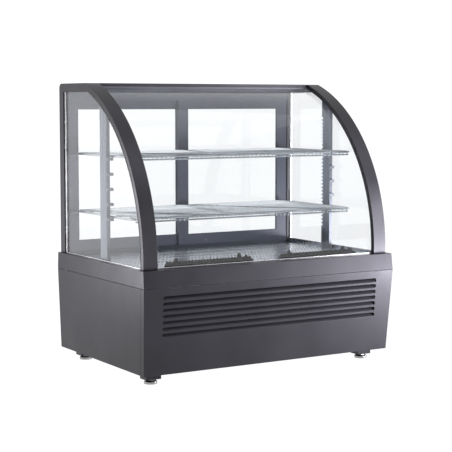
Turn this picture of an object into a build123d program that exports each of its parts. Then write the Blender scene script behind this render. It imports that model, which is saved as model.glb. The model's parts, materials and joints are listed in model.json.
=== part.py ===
"""Countertop refrigerated display case with a curved front glass and two sliding rear doors.

Frame: +X to the right as seen from the front, +Y to the back, +Z up.
Origin: centre of the footprint, on the surface that the feet stand on. All sizes in millimetres.
"""
import os
from math import cos, radians, sin, sqrt

from build123d import *

os.makedirs("parts", exist_ok=True)

# ---------------------------------------------------------------- driving dimensions
WIDTH = 682.0  # overall, at the seam under the rim band
DEPTH = 450.0
HEIGHT = 670.0
HALF = WIDTH / 2
FRONT = -DEPTH / 2
REAR = DEPTH / 2
SHEET = 1.2  # panel thickness
GAP = 0.3  # fitting gap between neighbouring panels

PANEL_BOTTOM = 26.0
SEAM_Z = 221.5
RIM_TOP = 260.5
BASE_INSET_SIDE = 7.0  # taper of the base, from the seam down to its bottom edge
BASE_INSET_FRONT = 16.0
RIM_INSET_SIDE = 1.2  # taper of the rim band, from the seam up to its top edge
RIM_INSET_FRONT = 4.4
FRONT_WRAP = 16.0  # how far the front panel wraps round the corners
SIDE_WRAP = 20.0  # rear flange of the side panels
REAR_RECESS = 3.0  # rear panel behind the side panels' flanges
FLANGE = 1.2  # thickness of the rim band's top flange

FRAME_X = 332.0  # outer face of the upper frame
FRAME_BAR = 15.5  # width of posts and top side bars along X
POST_FRONT = 201.5
SIDE_BAR_BOTTOM = 650.0
REAR_CORNER_R = 12.0  # rounding of the upper frame's top rear corners
ARCH_WIDTH = 35.4
ARC_Y = 213.3  # centre of the arched front, in the side view
ARC_Z = 271.9
ARCH_R = 420.0
ARCH_THICK = 11.5
ARCH_END_Y = 84.0
GLASS = 5.0
FRONT_GLASS_R = ARCH_R - ARCH_THICK - GAP
SIDE_GLASS_X = 322.0  # inner face of the side glasses
GLASS_TOP_Y = 78.0

DECK_Z = 250.8
DECK_THICK = 2.0
DECK_FLANGE_TOP = 260.2  # of its upturned sides
TUB_X = 318.0
TUB_FRONT = -200.0
TUB_REAR = 200.8
TUB_BOTTOM = 150.0
TUB_WALL = 20.0
TUB_FLOOR = 25.0

LOUVRE_COUNT = 7
LOUVRE_PITCH = 14.0
LOUVRE_TOP_Z = 198.3
LOUVRE_LENGTH = 584.0
LOUVRE_HEIGHT = 9.5
LOUVRE_DEPTH = 8.0

SHELF_X = 306.0
SHELF_FRONT = -106.0
SHELF_REAR = 193.0
SHELF_WIRE_R = 2.8
LIP_DROP = 6.5  # lower front wire, under the frame wire
LIP_WIRE_R = 2.0
SHELF_LEVELS = {"shelf_upper": 502.0, "shelf_lower": 363.0}
GRID_WIRE_R = 1.25
GRID_COUNT = 51
GRID_HALF = 288.0  # x of the outermost grid wires
CROSS_WIRE_R = 1.5
CROSS_COUNT = 4
HOOK_LEVELS = 5
HOOK_HEIGHT = 7.0
HOOK_DEPTH = 8.0
CLIP_THICK = 3.0

PILASTER_X = (307.6, 316.5)
PILASTER_FRONT = -4.4
PILASTER_REAR = 30.0
PILASTER_WALL = 1.5
LED_FRONT = 17.0
LED_BOTTOM = 304.0
LED_TOP = 594.0
LED_THICK = 2.5

DOOR_BOTTOM = 256.3
DOOR_TOP = 634.0
DOOR_THICK = 8.5
DOOR_GLASS = 4.0
DOOR_OPENING = (288.0, 607.5)  # glass opening, bottom and top
INNER_TRACK = 203.0  # front face of the inner, right-hand door
OUTER_TRACK = 213.0  # front face of the outer, left-hand door
DOOR_EDGE_X = 315.5
STILE_LAP = 15.0  # each door passes the middle by this much
OUTER_STILE = 31.0
INNER_STILE = 29.5

FOOT_X = 292.5
FOOT_Y = {"front": -162.5, "rear": 173.0}
FOOT_R = 15.0
STUD_R = 4.0
RUN_FIT = 0.05  # radial clearance of shafts and studs


# ---------------------------------------------------------------- helpers
def save(part, name):
    """Label a finished sub-part and write its STEP file."""
    part.label = name
    export_step(part, f"parts/{name}.step")


def block(low, high, mode=Mode.ADD):
    """Box between two opposite corners, added to the part being built or cut from it."""
    size = [top - bottom for bottom, top in zip(low, high)]
    with Locations(low):
        Box(*size, align=(Align.MIN, Align.MIN, Align.MIN), mode=mode)


def both_sides(low, high, mode=Mode.ADD):
    """The same block on the right and, mirrored, on the left."""
    block(low, high, mode)
    block((-high[0], low[1], low[2]), (-low[0], high[1], high[2]), mode)


def rod(centre, radius, length, axis, mode=Mode.ADD):
    """Cylinder centred on a point and lying along x, y or z."""
    turn = {"x": (0, 90, 0), "y": (90, 0, 0), "z": (0, 0, 0)}[axis]
    with Locations(centre):
        Cylinder(radius, length, rotation=turn, mode=mode)


def tapered_block(bottom, top, mode=Mode.ADD):
    """Four-sided block tapering between two levels, each given as (z, half width, front y, rear y)."""
    outlines = []
    for level, half, front, rear in (bottom, top):
        with BuildSketch(Plane.XY.offset(level)) as outline:
            with Locations((0, (front + rear) / 2)):
                Rectangle(2 * half, rear - front)
        outlines.append(outline.sketch.face())
    loft(outlines, ruled=True, mode=mode)


def base_level(z, inset=0.0):
    """Outline of the base at a level: half width, front and rear, less an inset."""
    share = (SEAM_Z - z) / (SEAM_Z - PANEL_BOTTOM)
    half = HALF - share * BASE_INSET_SIDE - inset
    return (z, half, FRONT + share * BASE_INSET_FRONT + inset, REAR - inset)


def rim_level(z, inset=0.0):
    """Outline of the rim band at a level, less an inset."""
    share = (z - SEAM_Z) / (RIM_TOP - SEAM_Z)
    half = HALF - share * RIM_INSET_SIDE - inset
    return (z, half, FRONT + share * RIM_INSET_FRONT + inset, REAR - inset)


def arc_y(radius, z):
    """Front-side y of the arched front's circle at height z."""
    return ARC_Y - sqrt(radius**2 - (z - ARC_Z) ** 2)


def arc_z(radius, y):
    """Height of the arched front's circle at depth y."""
    return ARC_Z + sqrt(radius**2 - (y - ARC_Y) ** 2)


def arc_middle(radius):
    """A point half way up the arched front, in the side view."""
    angle = radians(35)
    return (ARC_Y - radius * cos(angle), ARC_Z + radius * sin(angle))


# ---------------------------------------------------------------- base
FRONT_SLOPE = (0, SEAM_Z - PANEL_BOTTOM, BASE_INSET_FRONT)  # normal of the front face, pointing back


def front_plane(depth):
    """Plane parallel to the front face, a given depth behind it, facing back."""
    return Plane(origin=(0, FRONT + depth, SEAM_Z), x_dir=(1, 0, 0), z_dir=FRONT_SLOPE)


def front_face_y(z):
    """y of the front panel's outer face at height z."""
    return base_level(z)[2]


def make_front_panel():
    """Pressed front panel: wraps round both corners and has louvres with inward sloping blades."""
    slot_plane = Plane(origin=(0, front_face_y(PANEL_BOTTOM), PANEL_BOTTOM), x_dir=(1, 0, 0),
                       z_dir=[-part for part in FRONT_SLOPE])
    slope = sqrt(1 + (BASE_INSET_FRONT / (SEAM_Z - PANEL_BOTTOM)) ** 2)
    levels = [LOUVRE_TOP_Z - LOUVRE_PITCH * row for row in range(LOUVRE_COUNT)]
    with BuildPart() as front_panel:
        tapered_block(base_level(PANEL_BOTTOM), base_level(SEAM_Z - GAP))
        tapered_block(base_level(PANEL_BOTTOM, SHEET), base_level(SEAM_Z - GAP, SHEET), Mode.SUBTRACT)
        split(bisect_by=front_plane(FRONT_WRAP), keep=Keep.BOTTOM)
        with BuildSketch(slot_plane):
            with Locations(*[(0, (z - PANEL_BOTTOM) * slope) for z in levels]):
                SlotOverall(LOUVRE_LENGTH, LOUVRE_HEIGHT)
        extrude(amount=2 * SHEET, both=True, mode=Mode.SUBTRACT)
        with BuildSketch(Plane.YZ) as blades:
            for z in levels:
                low = z - LOUVRE_HEIGHT / 2
                y = front_face_y(low)
                with BuildLine():
                    Polyline((y, low - SHEET), (y + LOUVRE_DEPTH + SHEET, low + LOUVRE_HEIGHT - SHEET),
                             (y + LOUVRE_DEPTH, low + LOUVRE_HEIGHT), (y, low + SHEET / 2), close=True)
                make_face()
        extrude(amount=(LOUVRE_LENGTH - LOUVRE_HEIGHT) / 2, both=True)
    save(front_panel.part, "front_panel")


def make_side_panel(name, side):
    """Plain tapered side panel with a flange folded round the rear corner."""
    inner_edge = HALF - SIDE_WRAP
    with BuildPart() as side_panel:
        tapered_block(base_level(PANEL_BOTTOM), base_level(SEAM_Z - GAP))
        tapered_block(base_level(PANEL_BOTTOM, SHEET), base_level(SEAM_Z - GAP, SHEET), Mode.SUBTRACT)
        split(bisect_by=front_plane(FRONT_WRAP + GAP), keep=Keep.TOP)
        split(bisect_by=Plane(origin=(side * inner_edge, 0, 0), z_dir=(side, 0, 0)), keep=Keep.TOP)
    save(side_panel.part, name)


REAR_FACE = REAR - REAR_RECESS
REAR_PANEL_X = HALF - SIDE_WRAP - 1.0
REAR_PANEL_Z = (30.0, 219.0)
CONTROL_X = (110.0, 262.0)
CONTROL_Z = (140.0, 200.0)
INLET_X = -255.0
INLET_Z = 62.0
INLET_SIZE = (48.0, 28.0)
REAR_SLOT_X = -60.0
REAR_SLOT_COUNT = 9


def make_rear_panel():
    """Flat rear cover with air slots and cut-outs for the control panel and the power inlet."""
    with BuildPart() as rear_panel:
        block((-REAR_PANEL_X, REAR_FACE - SHEET, REAR_PANEL_Z[0]),
              (REAR_PANEL_X, REAR_FACE, REAR_PANEL_Z[1]))
        block((CONTROL_X[0], REAR_FACE - 2 * SHEET, CONTROL_Z[0]),
              (CONTROL_X[1], REAR_FACE + SHEET, CONTROL_Z[1]), Mode.SUBTRACT)
        with Locations((INLET_X, REAR_FACE, INLET_Z)):
            Box(INLET_SIZE[0], 4 * SHEET, INLET_SIZE[1], mode=Mode.SUBTRACT)
        with BuildSketch(Plane.XZ.offset(-REAR_FACE)):
            with Locations((REAR_SLOT_X, 120)):
                with GridLocations(0, LOUVRE_PITCH, 1, REAR_SLOT_COUNT):
                    SlotOverall(240, 6)
        extrude(amount=2 * SHEET, both=True, mode=Mode.SUBTRACT)
    save(rear_panel.part, "rear_panel")


def make_rim_band():
    """Band round the top of the base, with the flange that the upper frame and the glass stand on."""
    bottom = SEAM_Z + GAP
    flange_inner = SIDE_GLASS_X - 0.1
    with BuildPart() as rim_band:
        tapered_block(rim_level(bottom), rim_level(RIM_TOP))
        tapered_block(rim_level(bottom, SHEET), rim_level(RIM_TOP - FLANGE, SHEET), Mode.SUBTRACT)
        block((-flange_inner, arc_y(FRONT_GLASS_R - GLASS, RIM_TOP) + 1, bottom),
              (flange_inner, POST_FRONT, HEIGHT), Mode.SUBTRACT)
        post_inner = FRAME_X - FRAME_BAR
        block((-post_inner, POST_FRONT, bottom), (post_inner, REAR - 2.2, HEIGHT), Mode.SUBTRACT)
    save(rim_band.part, "rim_band")


PAN_Z = 28.0
PAN_SHEET = 1.5
PAN_X = 330.0
PAN_FRONT = -203.0
PAN_REAR = 220.0
PAN_LIP = 12.0
BRACKET_WIDTH = 38.0
BRACKET_DEPTH = 30.0
BRACKET_BOTTOM = 10.5


def foot_places():
    """Every foot's name and axis position."""
    for row, y in FOOT_Y.items():
        for side, sign in (("left", -1), ("right", 1)):
            yield f"foot_{row}_{side}", sign * FOOT_X, y


def make_base_pan():
    """Folded steel tray that carries the refrigeration set, with a threaded boss over each foot."""
    boss_height = 14.0
    boss_r = 9.0
    with BuildPart() as base_pan:
        block((-PAN_X, PAN_FRONT, PAN_Z), (PAN_X, PAN_REAR, PAN_Z + PAN_LIP))
        block((-PAN_X + PAN_SHEET, PAN_FRONT + PAN_SHEET, PAN_Z + PAN_SHEET),
              (PAN_X - PAN_SHEET, PAN_REAR - PAN_SHEET, HEIGHT), Mode.SUBTRACT)
        for _, x, y in foot_places():
            rod((x, y, PAN_Z + boss_height / 2), boss_r, boss_height, "z")
            rod((x, y, PAN_Z), STUD_R + RUN_FIT, 4 * boss_height, "z", Mode.SUBTRACT)
    save(base_pan.part, "base_pan")


def make_foot_brackets():
    """Four pressed boxes under the base pan, open below, each round the neck of a foot."""
    half_x, half_y = BRACKET_WIDTH / 2, BRACKET_DEPTH / 2
    inner_x, inner_y = half_x - PAN_SHEET, half_y - PAN_SHEET
    with BuildPart() as foot_brackets:
        for _, x, y in foot_places():
            block((x - half_x, y - half_y, BRACKET_BOTTOM), (x + half_x, y + half_y, PAN_Z))
            block((x - inner_x, y - inner_y, 0), (x + inner_x, y + inner_y, PAN_Z - PAN_SHEET), Mode.SUBTRACT)
            rod((x, y, PAN_Z), STUD_R + RUN_FIT, 4 * PAN_LIP, "z", Mode.SUBTRACT)
    save(foot_brackets.part, "foot_brackets")


def make_foot(name, x, y):
    """Levelling foot: round pad, hexagon and threaded stud, turned on one axis."""
    pad_height = 8.0
    pad_chamfer = 3.0
    neck_r = 10.5
    neck_top = 13.0
    stud_top = 44.0
    with BuildPart() as foot:
        with Locations((x, y, 0)):
            Cylinder(FOOT_R, pad_height, align=(Align.CENTER, Align.CENTER, Align.MIN))
        chamfer(foot.edges().filter_by(GeomType.CIRCLE).sort_by(Axis.Z)[-1], length=pad_chamfer)
        with BuildSketch(Plane.XY.offset(pad_height)):
            with Locations((x, y)):
                RegularPolygon(neck_r, 6)
        extrude(amount=neck_top - pad_height)
        rod((x, y, stud_top / 2), STUD_R, stud_top, "z")
    save(foot.part, name)


# ---------------------------------------------------------------- refrigeration
COMPRESSOR_X = -200.0
COMPRESSOR_Y = 70.0
GROMMET_DX = 58.0
GROMMET_DY = 42.0
GROMMET_TOP = 44.0
STUB_LEVELS = (72.0, 92.0)  # discharge and suction
LINE_START = COMPRESSOR_X + 60.5  # x of the stubs' ends
LINE_R = 3.0


def make_compressor():
    """Hermetic compressor: domed shell on a foot plate, with suction and discharge stubs."""
    shell_r = 48.0
    shell_height = 84.0
    plate = 3.0
    stub_r = 4.0
    stub_length = 24.0
    bolt_r = 4.0
    with BuildPart() as compressor:
        with Locations((COMPRESSOR_X, COMPRESSOR_Y, GROMMET_TOP + plate)):
            Cylinder(shell_r, shell_height, align=(Align.CENTER, Align.CENTER, Align.MIN))
        fillet(compressor.edges().filter_by(GeomType.CIRCLE).group_by(Axis.Z)[-1], radius=30)
        with Locations((COMPRESSOR_X, COMPRESSOR_Y, GROMMET_TOP + plate / 2)):
            Box(2 * GROMMET_DX + 24, 2 * GROMMET_DY + 20, plate)
        for dx in (-GROMMET_DX, GROMMET_DX):
            for dy in (-GROMMET_DY, GROMMET_DY):
                hole = (COMPRESSOR_X + dx, COMPRESSOR_Y + dy, GROMMET_TOP)
                rod(hole, bolt_r, 4 * plate, "z", Mode.SUBTRACT)
        for height in STUB_LEVELS:
            rod((COMPRESSOR_X + shell_r, COMPRESSOR_Y, height), stub_r, stub_length, "x")
    save(compressor.part, "compressor")


def make_grommets():
    """Four rubber grommets between the compressor's foot plate and the base pan."""
    grommet_r = 9.0
    with BuildPart() as grommets:
        floor = PAN_Z + PAN_SHEET
        for dx in (-GROMMET_DX, GROMMET_DX):
            for dy in (-GROMMET_DY, GROMMET_DY):
                place = (COMPRESSOR_X + dx, COMPRESSOR_Y + dy, (floor + GROMMET_TOP) / 2)
                rod(place, grommet_r, GROMMET_TOP - floor, "z")
    save(grommets.part, "compressor_grommets")


def make_coil(name, low, high, fin_count, tube_rows, tube_columns):
    """Finned heat exchanger: thin fins across X on straight tubes, between two end plates."""
    fin = 0.8
    tube_r = 4.0
    end_loop = 10.0
    with BuildPart() as coil:
        for index in range(fin_count):
            x = low[0] + (high[0] - low[0] - fin) * index / (fin_count - 1)
            block((x, low[1], low[2]), (x + fin, high[1], high[2]))
        row_pitch = (high[2] - low[2]) / tube_rows
        column_pitch = (high[1] - low[1]) / tube_columns
        for row in range(tube_rows):
            for column in range(tube_columns):
                y = low[1] + column_pitch * (column + 0.5)
                z = low[2] + row_pitch * (row + 0.5)
                rod(((low[0] + high[0]) / 2, y, z), tube_r, high[0] - low[0] + 2 * end_loop, "x")
    save(coil.part, name)


CONDENSER_LOW = (-20.0, -190.0, 34.0)
CONDENSER_HIGH = (240.0, -156.0, 144.0)
CONDENSER_PLATE = ((0.0, -150.0, 34.0), (220.0, -148.0, 144.0))
CONDENSER_FAN = (110.0, -124.0, 89.0)
CONDENSER_FAN_R = 46.0
EVAPORATOR_LOW = (-230.0, 20.0, 182.0)
EVAPORATOR_HIGH = (60.0, 100.0, 242.0)
EVAPORATOR_PLATE = ((-297.0, -50.0, 176.0), (297.0, -48.0, 249.0))
EVAPORATOR_FAN = (-85.0, -38.0, 212.0)
EVAPORATOR_FAN_R = 29.0
SHAFT_R = 3.0


def make_fan_plate(name, low, high, centre, fan_r):
    """Flat plate across an air path, with the round opening that a fan runs in."""
    clearance = 3.0
    with BuildPart() as plate:
        block(low, high)
        rod((centre[0], low[1], centre[2]), fan_r + clearance, 4 * (high[1] - low[1]), "y", Mode.SUBTRACT)
    save(plate.part, name)


def make_fan(name, centre, radius):
    """Axial fan: bored hub with five pitched blades, turning about Y."""
    hub_r = 9.0
    hub_length = 14.0
    blade = 1.6
    pitch = 28
    with BuildPart(Plane(origin=centre, x_dir=(1, 0, 0), z_dir=(0, 1, 0))) as fan:
        Cylinder(hub_r, hub_length)
        with PolarLocations(0, 5):
            Box(radius, radius * 0.5, blade, rotation=(pitch, 0, 0),
                align=(Align.MIN, Align.CENTER, Align.CENTER))
        Cylinder(SHAFT_R + RUN_FIT, 4 * hub_length, mode=Mode.SUBTRACT)
        with BuildSketch(Plane(origin=centre, x_dir=(1, 0, 0), z_dir=(0, 1, 0)).offset(-hub_length * 2)):
            Circle(radius)
        extrude(amount=4 * hub_length, mode=Mode.INTERSECT)
    save(fan.part, name)


def make_fan_motor(name, centre, stand_z):
    """Fan motor behind its fan: round can, shaft into the hub and a foot down to the floor below."""
    can_r = 16.0
    can_length = 26.0
    can_y = centre[1] + 12.0
    shaft_length = 22.0
    stand_half = 8.0
    stand_y = can_y + 4.0
    with BuildPart() as motor:
        rod((centre[0], can_y + can_length / 2, centre[2]), can_r, can_length, "y")
        rod((centre[0], can_y + 3 - shaft_length / 2, centre[2]), SHAFT_R, shaft_length, "y")
        block((centre[0] - stand_half, stand_y, stand_z),
              (centre[0] + stand_half, stand_y + 2 * stand_half, centre[2]))
    save(motor.part, name)


def make_condensate_tray():
    """Shallow open tray that catches the melt water over the base pan."""
    low = (-20.0, 90.0, PAN_Z + PAN_SHEET)
    high = (120.0, 205.0, low[2] + 22.0)
    wall = 2.0
    with BuildPart() as tray:
        block(low, high)
        block((low[0] + wall, low[1] + wall, low[2] + wall), (high[0] - wall, high[1] - wall, HEIGHT),
              Mode.SUBTRACT)
    save(tray.part, "condensate_tray")


def make_filter_drier():
    """Copper filter drier: a short cylinder with drawn ends, lying along Y."""
    centre = (-95.0, -60.0, 60.0)
    shell_r = 11.0
    shell_length = 70.0
    with BuildPart() as drier:
        rod(centre, shell_r, shell_length, "y")
        chamfer(drier.edges().filter_by(GeomType.CIRCLE), length=6)
        rod(centre, LINE_R + 0.2, shell_length + 30, "y")
    save(drier.part, "filter_drier")


def make_refrigerant_lines():
    """Copper discharge and suction lines from the compressor's stubs."""
    discharge_z, suction_z = STUB_LEVELS
    routes = (
        [(LINE_START, COMPRESSOR_Y, discharge_z), (-110, COMPRESSOR_Y, discharge_z),
         (-110, -120, discharge_z), (-40, -120, discharge_z)],
        [(LINE_START, COMPRESSOR_Y, suction_z), (-60, COMPRESSOR_Y, suction_z),
         (-60, COMPRESSOR_Y, TUB_BOTTOM - 2)],
    )
    with BuildPart() as lines:
        for route in routes:
            with BuildLine() as path:
                FilletPolyline(*route, radius=18)
            with BuildSketch(Plane(origin=route[0], z_dir=(1, 0, 0))):
                Circle(LINE_R)
            sweep(path=path.wires()[0])
    save(lines.part, "refrigerant_lines")


def make_terminal_box():
    """Closed box for the mains terminals and the relay."""
    low = (170.0, 60.0, PAN_Z + PAN_SHEET)
    high = (250.0, 130.0, 92.0)
    with BuildPart() as box:
        block(low, high)
        fillet(box.edges().filter_by(Axis.Z), radius=4)
    save(box.part, "terminal_box")


def make_insulated_tub():
    """Foamed tub under the deck that holds the evaporator."""
    top = DECK_Z - 0.2
    with BuildPart() as tub:
        block((-TUB_X, TUB_FRONT, TUB_BOTTOM), (TUB_X, TUB_REAR, top))
        block((-TUB_X + TUB_WALL, TUB_FRONT + TUB_WALL, TUB_BOTTOM + TUB_FLOOR),
              (TUB_X - TUB_WALL, TUB_REAR - TUB_WALL, HEIGHT), Mode.SUBTRACT)
    save(tub.part, "insulated_tub")


# ---------------------------------------------------------------- rear controls
BUTTON_R = 4.0
BUTTON_TRAVEL = 1.0
BUTTONS = {"button_down": 135.0, "button_up": 152.0, "button_set": 169.0}
BUTTON_Z = 154.0
DISPLAY = ((128.0, 176.0), (170.0, 190.0))
ROCKERS = {"rocker_light": 206.0, "rocker_power": 238.0}
ROCKER_SIZE = (20.0, 28.0)
ROCKER_Z = 170.0
ROCKER_PIN_R = 1.5
ROCKER_PIVOT_Y = REAR_FACE - 3.0


def make_control_panel():
    """Moulded control panel in the rear cover, with pockets for display, buttons and rockers."""
    body_depth = 19.0
    pocket_depth = 14.0  # for the rockers
    edge = 5.0
    with BuildPart() as panel:
        block((CONTROL_X[0] + 0.5, REAR_FACE - body_depth, CONTROL_Z[0] + 0.5),
              (CONTROL_X[1] - 0.5, REAR_FACE + 0.1, CONTROL_Z[1] - 0.5))
        block((CONTROL_X[0] - edge, REAR_FACE + 0.1, CONTROL_Z[0] - edge),
              (CONTROL_X[1] + edge, REAR - 1, CONTROL_Z[1] + edge))
        (display_x, display_z) = DISPLAY
        block((display_x[0], REAR - 2, display_z[0]), (display_x[1], REAR, display_z[1]), Mode.SUBTRACT)
        for x in BUTTONS.values():
            rod((x, REAR_FACE, BUTTON_Z), BUTTON_R + RUN_FIT, 12, "y", Mode.SUBTRACT)
        for x in ROCKERS.values():
            half_x = ROCKER_SIZE[0] / 2 + GAP
            half_z = ROCKER_SIZE[1] / 2 + 1.5
            block((x - half_x, REAR_FACE - pocket_depth, ROCKER_Z - half_z),
                  (x + half_x, REAR, ROCKER_Z + half_z), Mode.SUBTRACT)
            pivot = (x, ROCKER_PIVOT_Y, ROCKER_Z)
            rod(pivot, ROCKER_PIN_R + RUN_FIT, ROCKER_SIZE[0] + 4, "x", Mode.SUBTRACT)
    save(panel.part, "control_panel")


def make_button(name, x):
    """Round push button standing a little proud of the control panel."""
    with BuildPart() as button:
        rod((x, REAR - 4.1, BUTTON_Z), BUTTON_R, 7.8, "y")
        fillet(button.faces().sort_by(Axis.Y)[-1].edges(), radius=0.6)
    save(button.part, name)


def make_rocker(name, x):
    """Rocker of a switch: a shallow V seen from the side, with a pin stub at each end."""
    half = ROCKER_SIZE[1] / 2
    proud, middle, flush, back = 5.6, 3.4, 1.2, 2.2  # of the faces, from the pivot
    with BuildPart() as rocker:
        with BuildSketch(Plane(origin=(x, ROCKER_PIVOT_Y, ROCKER_Z), x_dir=(0, 1, 0), z_dir=(1, 0, 0))):
            with BuildLine():
                Polyline((-4, -5), (flush, -half), (proud, -half), (middle, 0), (flush, half),
                         (-back, half), (-4, 5), close=True)
            make_face()
        extrude(amount=ROCKER_SIZE[0] / 2, both=True)
        rod((x, ROCKER_PIVOT_Y, ROCKER_Z), ROCKER_PIN_R, ROCKER_SIZE[0] + 3.4, "x")
    save(rocker.part, name)


def make_power_inlet():
    """Appliance inlet in the rear cover: flanged housing with an open socket."""
    half_x, half_z = (size / 2 for size in INLET_SIZE)
    body_depth = 26.0
    flange_x, flange_z = 6.0, 3.0  # beyond the body
    socket_x, socket_z, socket_depth = 13.0, 9.0, 16.0
    pins = ((-6, -2), (0, 3), (6, -2))
    with BuildPart() as inlet:
        block((INLET_X - half_x + 0.5, REAR_FACE - body_depth, INLET_Z - half_z + 0.5),
              (INLET_X + half_x - 0.5, REAR_FACE + 0.1, INLET_Z + half_z - 0.5))
        block((INLET_X - half_x - flange_x, REAR_FACE + 0.1, INLET_Z - half_z - flange_z),
              (INLET_X + half_x + flange_x, REAR - 0.5, INLET_Z + half_z + flange_z))
        block((INLET_X - socket_x, REAR_FACE - socket_depth, INLET_Z - socket_z),
              (INLET_X + socket_x, REAR, INLET_Z + socket_z), Mode.SUBTRACT)
        for dx, dz in pins:
            with Locations((INLET_X + dx, REAR_FACE - 9, INLET_Z + dz)):
                Box(2, 14, 4)
    save(inlet.part, "power_inlet")


def make_screws():
    """Pan-head screws that hold the rear cover."""
    head_r = 3.4
    head = 1.8
    with BuildPart() as screws:
        for x in (-REAR_PANEL_X + 10, -REAR_PANEL_X / 3, REAR_PANEL_X / 3, REAR_PANEL_X - 10):
            for z in (REAR_PANEL_Z[0] + 8, REAR_PANEL_Z[1] - 6):
                rod((x, REAR_FACE + head / 2, z), head_r, head, "y")
    save(screws.part, "screws")


# ---------------------------------------------------------------- upper frame and glass
def make_curved(name, outer_r, inner_r, x_low, x_high, bottom, end_y):
    """Bar or pane bent to the arched front, standing at a bottom level and ending at a depth."""
    with BuildPart() as curved:
        with BuildSketch(Plane.YZ.offset(x_low)):
            with BuildLine():
                top = min(arc_z(outer_r, end_y), HEIGHT)
                outer_start = (arc_y(outer_r, bottom), bottom)
                outer_end = (arc_y(outer_r, top), top)
                inner_start = (arc_y(inner_r, bottom), bottom)
                inner_end = (end_y, arc_z(inner_r, end_y))
                ThreePointArc(outer_start, arc_middle(outer_r), outer_end)
                if end_y - outer_end[0] > GAP:
                    Polyline(outer_end, (end_y, top), inner_end)
                else:
                    Line(outer_end, inner_end)
                ThreePointArc(inner_end, arc_middle(inner_r), inner_start)
                Line(inner_start, outer_start)
            make_face()
        extrude(amount=x_high - x_low)
    save(curved.part, name)


def make_side_glass(name, side):
    """Flat side glass: straight at the back and the bottom, arched at the front."""
    radius = FRONT_GLASS_R - GLASS - GAP
    bottom = RIM_TOP + 0.2
    top = SIDE_BAR_BOTTOM - 0.2
    rear = POST_FRONT - 0.2
    inner_x = min(side * SIDE_GLASS_X, side * (SIDE_GLASS_X + GLASS))
    with BuildPart() as side_glass:
        with BuildSketch(Plane.YZ.offset(inner_x)):
            with BuildLine():
                start = (arc_y(radius, bottom), bottom)
                end = (arc_y(radius, top), top)
                ThreePointArc(start, arc_middle(radius), end)
                Polyline(end, (rear, top), (rear, bottom), start)
            make_face()
        extrude(amount=GLASS)
    save(side_glass.part, name)


def make_side_bar(name, side):
    """Top side bar between the arch and the rear, with a rounded rear corner."""
    low_x, high_x = sorted((side * (FRAME_X - FRAME_BAR), side * FRAME_X))
    with BuildPart() as side_bar:
        block((low_x, ARCH_END_Y + 0.2, SIDE_BAR_BOTTOM), (high_x, REAR, HEIGHT))
        fillet(side_bar.edges().filter_by(Axis.X).sort_by(Axis.Z)[-2:].sort_by(Axis.Y)[-1],
               radius=REAR_CORNER_R)
    save(side_bar.part, name)


def make_rear_post(name, side):
    """Hollow rear post that is also the door jamb."""
    wall = 1.5
    low_x, high_x = sorted((side * (FRAME_X - FRAME_BAR), side * FRAME_X))
    with BuildPart() as post:
        block((low_x, POST_FRONT, RIM_TOP), (high_x, REAR, SIDE_BAR_BOTTOM - 0.1))
        block((low_x + wall, POST_FRONT + wall, RIM_TOP), (high_x - wall, REAR - wall, HEIGHT),
              Mode.SUBTRACT)
    save(post.part, name)


INSIDE_X = FRAME_X - FRAME_BAR - 0.2  # half width between the posts
TOP_PANEL_Z = 663.0


def make_top_panel():
    """Folded top tray between the side bars, with a nose between the arches."""
    nose_x = FRAME_X - ARCH_WIDTH - 0.2
    with BuildPart() as top_panel:
        block((-INSIDE_X, ARCH_END_Y + 0.2, TOP_PANEL_Z), (INSIDE_X, REAR, HEIGHT))
        block((-nose_x, GLASS_TOP_Y, TOP_PANEL_Z), (nose_x, ARCH_END_Y + 0.2, HEIGHT))
        block((-nose_x + SHEET, GLASS_TOP_Y + SHEET, TOP_PANEL_Z),
              (nose_x - SHEET, REAR - SHEET, HEIGHT - SHEET), Mode.SUBTRACT)
    save(top_panel.part, "top_panel")


CHANNEL_TOP = 662.8
CHANNEL_BOTTOM = 657.4
CEILING_Z = 647.5
CEILING_SHEET = 1.5


def make_glass_top_channel():
    """Aluminium profile that caps the upper edge of the front glass."""
    half = FRAME_X - ARCH_WIDTH - 0.2
    with BuildPart() as channel:
        block((-half, GLASS_TOP_Y - 1.5, CHANNEL_BOTTOM), (half, GLASS_TOP_Y + 24, CHANNEL_TOP))
        block((-half, GLASS_TOP_Y + 0.4, CEILING_Z), (half, GLASS_TOP_Y + 2.4, CHANNEL_BOTTOM))
    save(channel.part, "glass_top_channel")


def make_ceiling_panel():
    """Flat lining under the top panel."""
    with BuildPart() as ceiling:
        block((-INSIDE_X, GLASS_TOP_Y + 2.6, CEILING_Z),
              (INSIDE_X, POST_FRONT - 0.3, CEILING_Z + CEILING_SHEET))
    save(ceiling.part, "ceiling_panel")


def make_glass_beads():
    """Slim aluminium beads along the bottom of the glasses and up the rear edge of the side glasses."""
    bead = 2.5
    bottom = RIM_TOP + 0.1
    front_y = arc_y(FRONT_GLASS_R, bottom) - 0.4
    outer_x = SIDE_GLASS_X + GLASS + 0.2
    half = FRAME_X - ARCH_WIDTH - 0.4
    glass_rear = arc_y(FRONT_GLASS_R - GLASS, bottom) + 0.4
    rear = POST_FRONT - 0.2
    with BuildPart() as beads:
        block((-half, front_y - bead, bottom), (half, front_y, bottom + bead))
        both_sides((outer_x, glass_rear, bottom), (outer_x + bead, rear, bottom + bead))
        both_sides((outer_x, rear - 6.5, bottom + bead + 0.1), (outer_x + bead, rear, SIDE_BAR_BOTTOM - 0.3))
    save(beads.part, "glass_beads")


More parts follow.
